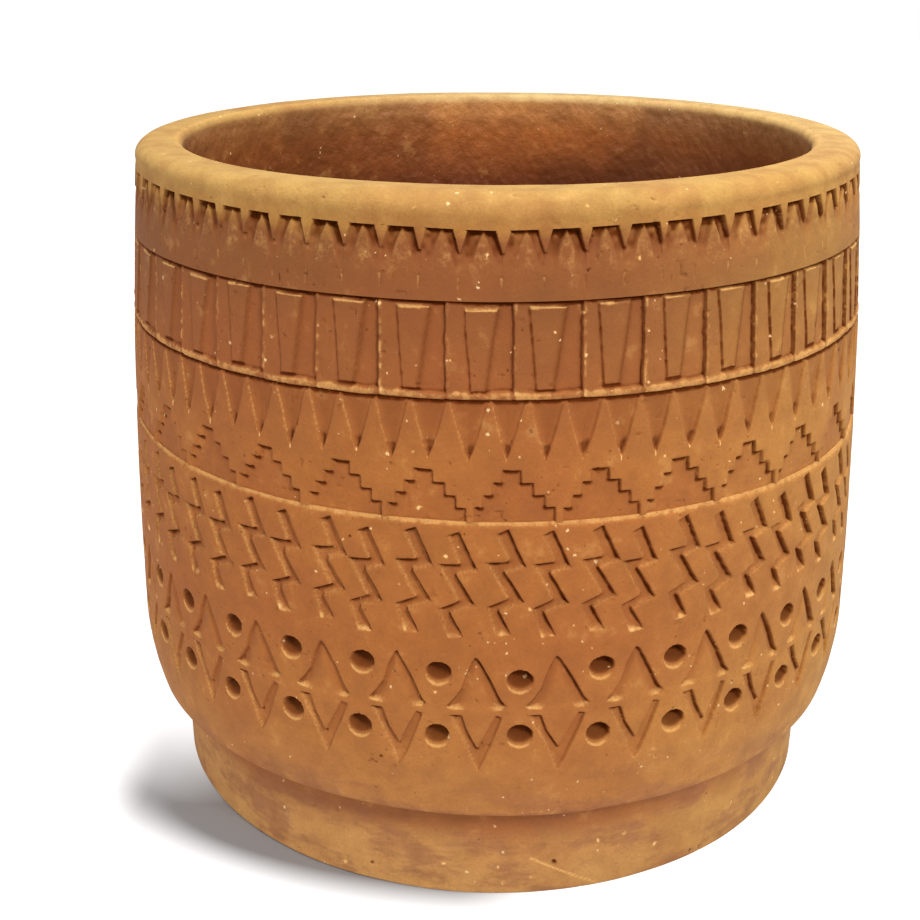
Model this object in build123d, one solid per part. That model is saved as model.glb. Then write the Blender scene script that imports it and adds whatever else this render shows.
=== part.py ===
from build123d import *
import os
from math import cos, radians, sin, sqrt

# Hand-built round clay planter, in millimetres, +Z up.
# The origin is the centre of the foot's resting face.
# The wall is stacked from courses of clay, each lapped over the one below
# and luted with slip. The scored lines round the pot mark those seams.

# diameters
belly_diameter = 300.0    # widest, at belly_height
neck_diameter = 281.6     # outside of the wall at the rim's seam
shoulder_diameter = 292.0  # crisp lower edge of the shoulder
foot_diameter = 271.0
recess_diameter = 223.0   # hollow under the floor, inside the foot ring
drain_diameter = 25.0     # drain hole through the floor

# heights of each course, from the ground up
foot_height = 36.0
bowl_height = 78.0
bolt_height = 43.0
step_height = 41.0
rib_height = 29.5
flame_height = 21.5
rim_height = 11.2

# wall
wall_thickness = 20.0
wall_bulge = 1.6          # how far the wall bows out from a straight taper
belly_height = 72.0       # height of the widest place above the ground
shoulder_rise = 6.0       # height of the shoulder's edge above the foot ring
shoulder_bulge = 1.0      # how far the shoulder bows out
heel_rise = 32.0          # height of the rounded heel inside, above the floor
heel_bulge = 4.0          # how far the heel bows out
rim_outer_round = 8.0
rim_inner_round = 4.0

# floor
recess_height = 22.0      # depth of the hollow under the floor
floor_thickness = 18.0
floor_ledge = 8.0         # width of the ledge that carries the floor

# joints between courses
lap_height = 5.0          # height of the tongue on top of each course
lap_gap = 0.2             # slip between the lapped faces
score_depth = 2.0         # scored line at the top of a course
score_height = 1.5

# zigzag bolts cut into the bolt course, in pairs round the pot
bolt_pairs = 30
bolt_depth = 2.1
bolt_first_turn = 2.35    # degrees from the front, to the right
bolt_partner_share = 0.46  # where the second bolt stands in the pair's pitch
bolt_partner_drop = 1.6
bolt_top_margin = 2.2     # from the seam above to the top of a bolt
bolt_outline = [(-4.1, -1.9), (0, 0), (5.9, -13.6), (-1.0, -15.7), (5.4, -26.4), (-2.8, -29.7),
                (1.5, -38.2), (-4.1, -38.9), (-7.2, -27.9), (-0.6, -25.0), (-7.5, -12.0), (-0.3, -11.5)]

# lozenges cut into the bowl course as two chevrons, and round pits between them
lozenge_count = 34
lozenge_depth = 1.8
lozenge_first_turn = -1.9
lozenge_margin = 27.0     # from the seam above to the middle of the lozenges
roof_outline = [(0.0, 21.8), (10.9, 2.4), (6.3, 1.0), (0.2, 16.5), (-4.7, 1.2), (-10.3, 2.0)]
keel_outline = [(-9.3, -0.7), (-4.6, -0.5), (0.9, -13.3), (7.0, -0.5), (9.6, -1.1), (0.7, -23.3)]
pit_diameter = 9.3
pit_reach = 2.2           # depth of a pit's floor at its middle
pit_tilt = 24.0           # the tool is pushed in and up, so a pit is deepest at its top
pit_turn = 5.8            # from a lozenge to the pit beside it
upper_pit_margin = 13.0   # from the seam above to the middle of the pits
lower_pit_margin = 37.2
tool_clearance = 3.0      # how far a cutter starts outside the face

# seams, from the ground up
bowl_base = foot_height
bolt_base = bowl_base + bowl_height
step_base = bolt_base + bolt_height
rib_base = step_base + step_height
flame_base = rib_base + rib_height
rim_base = flame_base + flame_height
rim_top = rim_base + rim_height

foot_radius = foot_diameter / 2
recess_radius = recess_diameter / 2
shoulder_radius = shoulder_diameter / 2
floor_seat_radius = recess_radius + floor_ledge
floor_top = recess_height + floor_thickness


def arc_centre(start, end, sagitta):
    """Centre and radius of the arc that bows out from the chord by the sagitta."""
    chord_r = end[0] - start[0]
    chord_z = end[1] - start[1]
    chord = sqrt(chord_r ** 2 + chord_z ** 2)
    radius = (chord ** 2 / 4 + sagitta ** 2) / (2 * sagitta)
    inward = radius - sagitta
    middle_r = (start[0] + end[0]) / 2
    middle_z = (start[1] + end[1]) / 2
    return middle_r - inward * chord_z / chord, middle_z + inward * chord_r / chord, radius


wall_centre_r, wall_centre_z, wall_arc_radius = arc_centre(
    (belly_diameter / 2, belly_height), (neck_diameter / 2, rim_base), wall_bulge)


def wall_point(height, depth=0.0):
    """Point of the wall at a height, at a depth under the outside face."""
    reach = sqrt((wall_arc_radius - depth) ** 2 - (height - wall_centre_z) ** 2)
    return wall_centre_r + reach, height


def wall_edge(low, high, depth=0.0):
    """Arc of the wall's section between two heights."""
    middle = (low + high) / 2
    return ThreePointArc(wall_point(low, depth), wall_point(middle, depth), wall_point(high, depth))


def bowed_edge(start, end, sagitta):
    """Arc from start up to end, bowed out by the sagitta."""
    centre_r, centre_z, radius = arc_centre(start, end, sagitta)
    middle_r = (start[0] + end[0]) / 2 - centre_r
    middle_z = (start[1] + end[1]) / 2 - centre_z
    reach = radius / sqrt(middle_r ** 2 + middle_z ** 2)
    middle = (centre_r + middle_r * reach, centre_z + middle_z * reach)
    return ThreePointArc(start, middle, end)


def turned(outline):
    """Solid of revolution about Z from a closed outline, drawn as (radius, height)."""
    edges = [edge for line in outline for edge in line.edges()]
    return revolve(Plane.XZ * make_face(edges), Axis.Z)


def lap_radius(height):
    """Middle of the wall, where the tongue of a lap ends."""
    return wall_point(height, wall_thickness / 2)[0]


def tongue_edges(seam, scored):
    """Top of a course, from its outside face to the inside of its tongue."""
    tongue_top = seam + lap_height
    outside = wall_point(seam)
    edges = []
    if scored:
        under_score = wall_point(seam - score_height)
        score_floor = outside[0] - score_depth
        outside = (score_floor, seam)
        edges.append(Polyline(under_score, (score_floor, seam - score_height), outside))
    edges.append(Polyline(outside, (lap_radius(seam), seam), (lap_radius(seam), tongue_top),
                          wall_point(tongue_top, wall_thickness)))
    return edges


def rebate_edges(seam):
    """Bottom of a course, from its inside face out to the seam, over the tongue below."""
    rebate_top = seam + lap_height + lap_gap
    rebate_radius = lap_radius(seam) + lap_gap
    return [Polyline(wall_point(rebate_top, wall_thickness), (rebate_radius, rebate_top),
                     (rebate_radius, seam), wall_point(seam))]


def wall_course(low, high, scored):
    """One course of the wall, with its rebate below and its tongue above."""
    outside_top = high - score_height if scored else high
    outside = wall_edge(low, outside_top)
    inside = wall_edge(high + lap_height, low + lap_height + lap_gap, wall_thickness)
    return turned([outside, *tongue_edges(high, scored), inside, *rebate_edges(low)])


def face_plane(turn, height, tilt=0.0, clearance=0.0):
    """Plane over the outside face: x along the wall, y up it and z out of it, at a turn
    in degrees from the front. A tilt turns z down, for a tool that is pushed in and up."""
    point_r, point_z = wall_point(height)
    out_r = (point_r - wall_centre_r) / wall_arc_radius
    out_z = (point_z - wall_centre_z) / wall_arc_radius
    tilt_cos, tilt_sin = cos(radians(tilt)), sin(radians(tilt))
    out_r, out_z = out_r * tilt_cos + out_z * tilt_sin, out_z * tilt_cos - out_r * tilt_sin
    point_r += out_r * clearance
    point_z += out_z * clearance
    side, front = sin(radians(turn)), cos(radians(turn))
    return Plane(origin=(point_r * side, -point_r * front, point_z), x_dir=(front, side, 0),
                 z_dir=(out_r * side, -out_r * front, out_z))


def cutter(sketch, turn, height, depth, tilt=0.0):
    """Solid that cuts a flat sketch into the outside face."""
    plane = face_plane(turn, height, tilt, tool_clearance)
    return extrude(plane * sketch, amount=-depth - tool_clearance)


def outline_sketch(outline, shift=0.0):
    """Flat sketch of an outline, moved up the face."""
    return make_face(Polyline([(x, y + shift) for x, y in outline], close=True))


def bolt_cutters():
    """Zigzag channels, drawn from the top right corner of each."""
    half_length = bolt_height / 2
    bolt = outline_sketch(bolt_outline, half_length - bolt_top_margin)
    middle = bolt_base + half_length
    pitch = 360 / bolt_pairs
    cutters = []
    for pair in range(bolt_pairs):
        turn = bolt_first_turn + pair * pitch
        partner_turn = turn + bolt_partner_share * pitch
        cutters.append(cutter(bolt, turn, middle, bolt_depth))
        cutters.append(cutter(bolt, partner_turn, middle - bolt_partner_drop, bolt_depth))
    return cutters


def lozenge_cutters():
    """Lozenges of two chevrons, with an upper and a lower pit beside each."""
    pit = Circle(pit_diameter / 2)
    middle = bolt_base - lozenge_margin
    cutters = []
    for number in range(lozenge_count):
        turn = lozenge_first_turn + number * 360 / lozenge_count
        cutters.append(cutter(outline_sketch(roof_outline), turn, middle, lozenge_depth))
        cutters.append(cutter(outline_sketch(keel_outline), turn, middle, lozenge_depth))
        for margin in (upper_pit_margin, lower_pit_margin):
            cutters.append(cutter(pit, turn + pit_turn, bolt_base - margin, pit_reach, pit_tilt))
    return cutters


def foot_ring():
    """Ring that the pot stands on, with a ledge inside for the floor."""
    section = Polyline((recess_radius, 0), (foot_radius, 0), (foot_radius, foot_height),
                       (floor_seat_radius, foot_height), (floor_seat_radius, recess_height),
                       (recess_radius, recess_height), close=True)
    return turned([section])


def floor_disc():
    """Floor of the pot, on the foot ring's ledge, with the drain hole."""
    disc_radius = floor_seat_radius - lap_gap
    drain_radius = drain_diameter / 2
    section = Polyline((drain_radius, recess_height), (disc_radius, recess_height),
                       (disc_radius, floor_top), (drain_radius, floor_top), close=True)
    return turned([section])


def bowl_course():
    """Lowest course: overhanging shoulder below the belly, rounded heel inside."""
    shoulder = (shoulder_radius, bowl_base + shoulder_rise)
    heel_top = floor_top + heel_rise
    heel_foot = (floor_seat_radius, floor_top)
    body = turned([
        Polyline(heel_foot, (floor_seat_radius, bowl_base), (foot_radius, bowl_base), shoulder),
        bowed_edge(shoulder, wall_point(belly_height), shoulder_bulge),
        wall_edge(belly_height, bolt_base),
        *tongue_edges(bolt_base, scored=False),
        wall_edge(bolt_base + lap_height, heel_top, wall_thickness),
        bowed_edge(heel_foot, wall_point(heel_top, wall_thickness), heel_bulge),
    ])
    return body - lozenge_cutters()


def bolt_course():
    """Course with the zigzag bolts."""
    return wall_course(bolt_base, step_base, scored=True) - bolt_cutters()


def rim_roll():
    """Flat-topped rim with rounded edges, lapped over the highest course."""
    inner_radius = wall_point(rim_base, wall_thickness)[0]
    outer_radius = wall_point(rim_base)[0]
    rebate_top = rim_base + lap_height + lap_gap
    round_start = rim_top - rim_outer_round
    inner_start = rim_top - rim_inner_round
    return turned([
        Line((outer_radius, rim_base), (outer_radius, round_start)),
        RadiusArc((outer_radius, round_start), (outer_radius - rim_outer_round, rim_top), -rim_outer_round),
        Line((outer_radius - rim_outer_round, rim_top), (inner_radius + rim_inner_round, rim_top)),
        RadiusArc((inner_radius + rim_inner_round, rim_top), (inner_radius, inner_start), -rim_inner_round),
        Polyline((inner_radius, inner_start), (inner_radius, rebate_top),
                 (lap_radius(rim_base) + lap_gap, rebate_top),
                 (lap_radius(rim_base) + lap_gap, rim_base), (outer_radius, rim_base)),
    ])


nodes = {
    "foot_ring": foot_ring(),
    "floor_disc": floor_disc(),
    "bowl_course": bowl_course(),
    "bolt_course": bolt_course(),
    "step_course": wall_course(step_base, rib_base, scored=True),
    "rib_course": wall_course(rib_base, flame_base, scored=True),
    "flame_course": wall_course(flame_base, rim_base, scored=True),
    "rim_roll": rim_roll(),
}

os.makedirs("parts", exist_ok=True)
for name, solid in nodes.items():
    export_step(solid, f"parts/{name}.step")
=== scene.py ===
# Hand-built clay planter: a foot ring, a floor, five carved courses of wall and a
# rolled rim. The clay is shaped and carved in millimetres, and laid down in metres.

import math
from itertools import product

import bmesh
import bpy
import numpy as np
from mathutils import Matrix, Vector


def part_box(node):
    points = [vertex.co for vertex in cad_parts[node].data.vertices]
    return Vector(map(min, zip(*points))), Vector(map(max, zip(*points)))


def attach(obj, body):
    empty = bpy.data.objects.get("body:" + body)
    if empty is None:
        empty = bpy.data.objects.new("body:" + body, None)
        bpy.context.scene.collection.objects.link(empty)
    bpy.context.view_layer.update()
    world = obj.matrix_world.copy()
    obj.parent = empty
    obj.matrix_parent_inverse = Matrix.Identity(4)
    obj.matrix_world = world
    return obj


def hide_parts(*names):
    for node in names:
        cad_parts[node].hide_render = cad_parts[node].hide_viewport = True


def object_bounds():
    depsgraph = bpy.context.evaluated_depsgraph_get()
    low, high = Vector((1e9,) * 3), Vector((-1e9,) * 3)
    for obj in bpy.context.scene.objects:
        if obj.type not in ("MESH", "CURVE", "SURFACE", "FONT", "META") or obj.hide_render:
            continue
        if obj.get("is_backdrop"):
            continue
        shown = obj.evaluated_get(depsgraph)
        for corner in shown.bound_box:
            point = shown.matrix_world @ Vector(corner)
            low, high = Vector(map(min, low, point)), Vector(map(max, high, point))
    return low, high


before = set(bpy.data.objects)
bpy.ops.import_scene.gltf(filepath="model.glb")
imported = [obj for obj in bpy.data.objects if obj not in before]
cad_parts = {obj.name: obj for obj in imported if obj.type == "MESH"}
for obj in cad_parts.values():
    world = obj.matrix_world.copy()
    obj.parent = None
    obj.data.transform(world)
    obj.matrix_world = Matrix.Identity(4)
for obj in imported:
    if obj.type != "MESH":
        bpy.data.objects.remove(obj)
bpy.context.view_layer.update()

MM = 0.001


def seam_height(node):
    """Height of the bottom of a course."""
    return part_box(node)[0].z / MM


def half_width(node):
    """Largest radius of a course."""
    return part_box(node)[1].x / MM


# heights, from the ground up
floor_bottom = seam_height("floor_disc")
bowl_seam = seam_height("bowl_course")
floor_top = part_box("floor_disc")[1].z / MM
shoulder_edge = bowl_seam + 6.0
band_bottom = 62.0            # where the carved part of the bowl begins
belly_height = 72.0
bolt_seam = seam_height("bolt_course")
step_seam = seam_height("step_course")
rib_seam = seam_height("rib_course")
flame_seam = seam_height("flame_course")
rim_seam = seam_height("rim_roll")
rim_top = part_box("rim_roll")[1].z / MM

# radii
drain_radius = 12.5
recess_radius = 111.5
floor_radius = half_width("floor_disc")
floor_seat_radius = 119.5
foot_radius = half_width("foot_ring")
shoulder_radius = 146.0
belly_radius = half_width("bowl_course")
neck_radius = half_width("rim_roll")
lip_edge_radius = 122.4       # radius of a paler ring along the inner edge of the rim

# wall
wall_thickness = 20.0
wall_bulge = 1.6
shoulder_bulge = 1.0
heel_bulge = 4.0
lap_height = 5.0
lap_gap = 0.2
rim_outer_round = 8.0
rim_inner_round = 4.0
worn_round = 1.2              # rounding of the edges that wear on the ground

# carving depths
deep_cut = 1.9
middle_cut = 1.3
shallow_cut = 0.4
pit_depth = 4.4
crease_reach = 0.8            # width of the deeper line at the foot of an upper or right wall
slope_reach = 1.5             # width of the slope at the foot of a lower or left wall


def bowed_side(low, high, bulge):
    """Radius by height of a side that bows out between two points (radius, height)."""
    run = high[0] - low[0]
    rise = high[1] - low[1]
    chord = math.hypot(run, rise)
    arc = (chord ** 2 / 4 + bulge ** 2) / (2 * bulge)
    centre_r = (low[0] + high[0]) / 2 - (arc - bulge) * rise / chord
    centre_z = (low[1] + high[1]) / 2 + (arc - bulge) * run / chord

    def radius_at(height):
        return centre_r + np.sqrt(np.maximum(arc ** 2 - (height - centre_z) ** 2, 0))
    return radius_at


belly = (belly_radius, belly_height)
belly_inside = (belly_radius - wall_thickness, belly_height)
wall_side = bowed_side(belly, (neck_radius, rim_seam), wall_bulge)
shoulder_side = bowed_side((shoulder_radius, shoulder_edge), belly, shoulder_bulge)
heel_side = bowed_side((floor_seat_radius, floor_top), belly_inside, heel_bulge)


def outside_radius(height):
    """Radius of the outside by height, above the foot ring."""
    return np.where(height > belly_height, wall_side(height), shoulder_side(height))


def inside_radius(height):
    """Radius of the inside by height, which is upright in the rim."""
    wall = wall_side(np.minimum(height, rim_seam)) - wall_thickness
    return np.where(height > belly_height, wall, heel_side(height))


def lap_radius(height):
    """Middle of the wall, where the tongue on top of a course ends."""
    return float(wall_side(height)) - wall_thickness / 2


# ---------------------------------------------------------------- hand-made unevenness

def lumps(points, size, seed):
    """Smooth random field from -1 to 1, with lumps about as wide as the size."""
    cells = 48
    lattice = np.random.default_rng(seed).uniform(-1, 1, (cells, cells, cells))
    scaled = points / size
    base = np.floor(scaled)
    share = scaled - base
    share = share * share * (3 - 2 * share)
    base = base.astype(int)
    total = np.zeros(len(points))
    for corner in product((0, 1), repeat=3):
        weight = np.prod(np.where(corner, share, 1 - share), axis=1)
        x, y, z = ((base + corner) % cells).T
        total += weight * lattice[x, y, z]
    return total


def rise_from_0_to_1(value):
    """A soft step, from 0 at 0 to 1 at 1."""
    value = np.clip(value, 0, 1)
    return value * value * (3 - 2 * value)


def bell(value, width):
    """1 at 0, falling off softly to both sides."""
    return np.exp(-(value / width) ** 2)


# mean sink in mm, width of the lumps in mm, seed
swells = ((0.17, 42, 1), (0.06, 11, 2), (0.02, 3, 3))
inner_lumps = ((0.22, 6, 18), (0.16, 2.2, 19))
drawn_in_heights = (205, 240, rim_seam, 252, rim_top)
drawn_in_depths = (0, 0.8, 1.0, 1.4, 0)      # how far the sides of the neck are drawn in


def sunk_by_hand(points, out_r):
    """How far the hand-smoothed face lies under its true shape. The inside is rougher."""
    swell = sum(amount * (1 + lumps(points, size, seed)) for amount, size, seed in swells)
    throwing = 0.05 * (1 + lumps(points * (0.05, 0.05, 1), 2.4, 17)) * (points[:, 2] < band_bottom)
    holes = np.clip(lumps(points, 1.5, 4) - 0.6, 0, 1) * 1.8 * (lumps(points, 8, 5) > 0.15) * (out_r > 0)
    rough = np.clip((rim_top - 2 - points[:, 2]) / 6, 0, 1)
    bumps = sum(amount * lumps(points, size, seed) for amount, size, seed in inner_lumps)
    inner = np.clip(-out_r, 0, 1) * (0.38 + rough * bumps)
    drawn_in = np.interp(points[:, 2], drawn_in_heights, drawn_in_depths)
    drawn_in = drawn_in * np.clip(out_r, 0, 1) * (0.1 + np.abs(points[:, 0]) / neck_radius)
    return swell + throwing + holes + inner + drawn_in


line_heights = (60, 76, 101, 120, 157, 198, 212, 228, 249, 260)
left_rises = (0, -0.5, -0.4, -0.8, -0.9, -2.1, -1.5, -0.4, 0.2, 0)
right_rises = (0, -0.8, -0.7, -1.2, -2.0, -1.4, -0.5, 0.8, 0.4, 0)


def ripple(points, heights):
    """How far the courses rise and dip round the pot. The foot and the rim's top stay level."""
    held = np.clip(heights / 30, 0, 1) * np.clip((rim_top - heights) / 8, 0, 1)
    to_right = points[:, 0] / belly_radius
    left = np.interp(heights, line_heights, left_rises) * (1 - to_right) / 2
    right = np.interp(heights, line_heights, right_rises) * (1 + to_right) / 2
    under_lip = np.interp(heights, (234, 249, rim_top), (0, 2.2, 0)) * np.abs(to_right)
    return left + right + under_lip + held * (0.25 * lumps(points, 75, 6) + 0.2 * lumps(points, 24, 7))


# ---------------------------------------------------------------- carving

def from_outline(outline, along, height):
    """Distance from a closed outline, negative inside it, and the way out of it."""
    nearest = np.full(along.shape, np.inf)
    gap_along = np.zeros(along.shape)
    gap_up = np.zeros(along.shape)
    inside = np.zeros(along.shape, bool)
    for (x0, z0), (x1, z1) in zip(outline, outline[1:] + outline[:1]):
        run, rise = x1 - x0, z1 - z0
        share = np.clip(((along - x0) * run + (height - z0) * rise) / (run ** 2 + rise ** 2), 0, 1)
        to_along = along - x0 - share * run
        to_up = height - z0 - share * rise
        gap = to_along ** 2 + to_up ** 2
        closer = gap < nearest
        nearest = np.where(closer, gap, nearest)
        gap_along = np.where(closer, to_along, gap_along)
        gap_up = np.where(closer, to_up, gap_up)
        if rise:
            between = (z0 > height) != (z1 > height)
            inside ^= between & (along < x0 + (height - z0) * run / rise)
    distance = np.sqrt(nearest) * np.where(inside, -1, 1)
    scale = 1 / np.where(np.abs(distance) > 1e-6, distance, np.inf)
    return distance, gap_along * scale, gap_up * scale


class Cuts:
    """The edges of the cuts in one piece.

    The mesh is pulled onto the nearest edge, which keeps the edges crisp.
    """

    def __init__(self, places, cell):
        self.cell = cell
        self.distance = np.full(places, 1e3)
        self.pull_along = np.zeros(places)
        self.pull_up = np.zeros(places)
        self.way_along = np.zeros(places)     # the way out of the cut, to the right
        self.way_up = np.zeros(places)
        # painted light and shade of the cuts, pale above 0 and dark below, with some pale grain on the
        # ribs' burrs
        self.tone = np.zeros(places)

    def edge(self, distance, way_along, way_up):
        """Notes an edge by the distance to it, negative in the cut.

        Returns how far each place is cut, from 0 to 1.
        """
        step = distance / self.cell
        foot_of_wall = (step < -0.5) & (step > -1.5)
        target = np.where(np.abs(step) <= 0.5, 0, np.where(foot_of_wall, -self.cell, distance))
        closer = np.abs(distance) < np.abs(self.distance)
        self.pull_along = np.where(closer, way_along * (target - distance), self.pull_along)
        self.pull_up = np.where(closer, way_up * (target - distance), self.pull_up)
        self.way_along = np.where(closer, way_along, self.way_along)
        self.way_up = np.where(closer, way_up, self.way_up)
        self.distance = np.where(closer, distance, self.distance)
        return np.select([step < -1.5, step < -0.5, step <= 0.5], [1.0, 0.95, 0.1], 0.0)

    def cut(self, outline, along, height):
        """Cuts out the inside of an outline."""
        return self.edge(*from_outline(outline, along, height))

    def leave(self, outline, along, height):
        """Cuts away all round an outline and leaves its inside standing."""
        distance, way_along, way_up = from_outline(outline, along, height)
        return self.edge(-distance, -way_along, -way_up)


class Row:
    """A motif that repeats round the pot, each one a little out of place."""

    def __init__(self, count, first, seed, shift=0.3, lift=0.3, stretch=0.04):
        random = np.random.default_rng(seed)
        self.count = count
        self.first = math.radians(first)
        self.shift = random.normal(0, shift, count)
        self.lift = random.normal(0, lift, count)
        self.stretch = 1 + random.normal(0, stretch, count)

    def places(self, turn, height, radius):
        """The number of the nearest motif, and where each place lies in it."""
        pitch = math.tau / self.count
        step = (turn - self.first) / pitch
        number = np.rint(step).astype(int)
        along = (step - number) * pitch * radius
        number %= self.count
        return number, (along - self.shift[number]) / self.stretch[number], height - self.lift[number]

    def pitch(self, radius):
        return math.tau / self.count * radius


def mirrored(half):
    """Closed outline from its right half, drawn from the top down."""
    return half + [(-x, z) for x, z in reversed(half) if x]


teeth_count = 70
teeth_radius = 141.2
flame_first = -1.5
flames = Row(teeth_count, flame_first, seed=11, shift=0.25, lift=0.25)
teeth = Row(teeth_count, flame_first + 180 / teeth_count, seed=12, shift=0.25, lift=0.5, stretch=0.1)
tooth_outline = mirrored([(2.3, rim_seam + 3), (2.2, rim_seam), (0.15, rim_seam - 6.6)])
tail_outline = mirrored([(0.5, rim_seam - 14.0), (0.1, rim_seam - 18.2)])


def flame_pattern(cuts, turn, height, grain):
    """Teeth hanging from the lip, and a flame rising between each two of them."""
    number, along, level = flames.places(turn, height, teeth_radius)
    _, across, tooth_level = teeth.places(turn, height, teeth_radius)
    sunk = cuts.leave(tooth_outline, across, tooth_level)
    drop = rim_seam - level
    fade = rise_from_0_to_1((16.5 - drop) / 15.5)
    deep = np.where(number % 2 == 0, 2.2, 1.4)
    half = np.interp(drop, [0, 2, 5, 10, 13, 15.5], [0.2, 0.9, 2.3, 3.5, 4.6, 6.6])
    flame = rise_from_0_to_1(0.5 + (half - np.abs(along - 0.3)) / 1.1)
    depth = fade * (deep * (1 - flame) + (0.35 + 0.25 * grain + 0.07 * np.abs(along) ** 1.5) * flame)
    tail = np.clip(0.5 - from_outline(tail_outline, across + 0.4, tooth_level)[0] / 0.5, 0, 1)
    dash = np.where(number % 2 == 0, 2.6, 1.6) + 0.5 * grain
    under_lip = sunk * (1 - 0.8 * flame) * rise_from_0_to_1((dash - drop) / 0.7)
    glow = flame * np.clip(1.2 - np.abs(drop - 7) / 7, 0, 1) * (0.14 + 0.2 * grain)
    under_tip = bell(tooth_level - rim_seam + 7.6, 1.1) * bell(across, 1.1)
    # painted light and shade: a highlight on the middle of the flames and on the tails under the teeth,
    # painted shade in the sunk ground between the flames, a painted shadow under the lip, and lighter
    # ground under each tooth's tip
    cuts.tone += 0.4 * tail * np.clip(0.8 + grain, 0, 1) + glow
    cuts.tone -= sunk * ((0.5 + 0.5 * grain) * (1 - flame) * fade + under_lip - 0.7 * under_tip)
    return sunk * np.maximum(depth, 0.1) + 0.6 * under_lip + 0.35 * tail


rib_count = 42
rib_radius = 142.4
rib_first = 2.45
ribs = Row(rib_count, rib_first, seed=21, shift=0.35, lift=0.0, stretch=0.0)
blocks = Row(rib_count, rib_first + 180 / rib_count, seed=22, shift=0.35, lift=0.35, stretch=0.05)
block_outline = [(-4.6, flame_seam - 1.9), (5.9, flame_seam - 1.8),
                 (2.3, rib_seam + 3.5), (-2.6, rib_seam + 3.4)]


def rib_pattern(cuts, turn, height, grain):
    """Shingles that dip to the right, with a tapered block on each and a fillet below."""
    _, across, _ = ribs.places(turn, height, rib_radius)
    _, along, level = blocks.places(turn, height, rib_radius)
    across = across + 0.3 * grain
    past = cuts.edge(across, np.ones(across.shape), np.zeros(across.shape))
    share = across / ribs.pitch(rib_radius)
    share = np.where(across < 0, share + 1, share)
    share = np.where((across < 0) & (past < 0.5), 0, share)
    floor = shallow_cut + 1.15 * share
    distance, way_along, way_up = from_outline(block_outline, along, level)
    round_block = cuts.edge(-distance, -way_along, -way_up)
    beside = 0.15 * np.clip(way_up, 0, 1) - 0.7 * np.clip(way_along, 0, 1)
    beside = beside * np.exp(-np.abs(distance) / 0.9)
    raised = 0.25 + 0.15 * share
    floor = raised + (floor - raised) * round_block
    burr = np.maximum(bell(across - 0.7, 0.7) * (0.4 + grain), 0)
    floor = np.maximum(floor - 0.5 * burr, 0)
    fillet = rise_from_0_to_1((rib_seam + 2.9 + 0.5 * grain - height) / 0.9)
    notch = bell(across - 0.2, 0.8)
    crest = 0.05 + 0.3 * np.maximum(grain, 0) + 0.3 * notch + 0.2 * (height - rib_seam - 1.4) ** 2
    roll = 0.5 * rise_from_0_to_1((rib_seam + 0.5 - height) / 0.8)
    ledge = rise_from_0_to_1((height - flame_seam + 0.9 + 0.9 * share + 0.3 * grain) / 0.6)
    over_bead = rise_from_0_to_1((rib_seam + 3.6 + 0.5 * grain - height) / 0.5) * (1 - fillet)
    # painted light and shade: a highlight on the fillet and above each block, and on the burrs beside the
    # ribs, which are also pale grain; painted shade right of each block, in the floor as it deepens to the
    # right and just above the fillet, and a painted shadow under the fillet and under the ledge at the top
    # of the course
    cuts.tone += 0.45 * burr + 0.5 * fillet * (1 - 0.5 * notch) * np.clip(0.9 + 0.6 * grain, 0, 1)
    cuts.tone += beside - roll - ledge - 0.5 * over_bead * share - 0.12 * share * round_block
    return floor * (1 - fillet) + fillet * (crest + roll) + 0.4 * ledge


spike_count = 74
spike_radius = 143.6
vees = Row(spike_count, -3.1, seed=31, shift=0.25, lift=0.5, stretch=0.07)
vee_outline = mirrored([(6.0, rib_seam + 4), (5.75, rib_seam - 0.5), (4.7, rib_seam - 5),
                        (3.2, rib_seam - 11.3), (1.6, rib_seam - 16.6), (0.5, rib_seam - 19.5),
                        (0.12, rib_seam - 22.6)])
pyramid_count = 32
pyramid_radius = 145.6
pyramids = Row(pyramid_count, 2.75, seed=32, shift=0.3, lift=0.3, stretch=0.02)
step_tops = (17.9, 13.6, 9.3, 5.1)          # height of each step above the seam
left_steps = (4.4, 7.5, 10.6, 13.3)         # half widths of the steps, on the left
right_steps = (2.4, 6.4, 10.2, 13.6)


def stepped_outline():
    """A pyramid of four steps, which is open at the seam below."""
    left = []
    right = []
    for number, top in enumerate(step_tops):
        lower = step_tops[number + 1] if number + 1 < len(step_tops) else -3
        left += [(-left_steps[number], step_seam + top), (-left_steps[number] - 0.15, step_seam + lower)]
        right += [(right_steps[number], step_seam + top), (right_steps[number] + 0.2, step_seam + lower)]
    return right + left[::-1]


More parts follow.
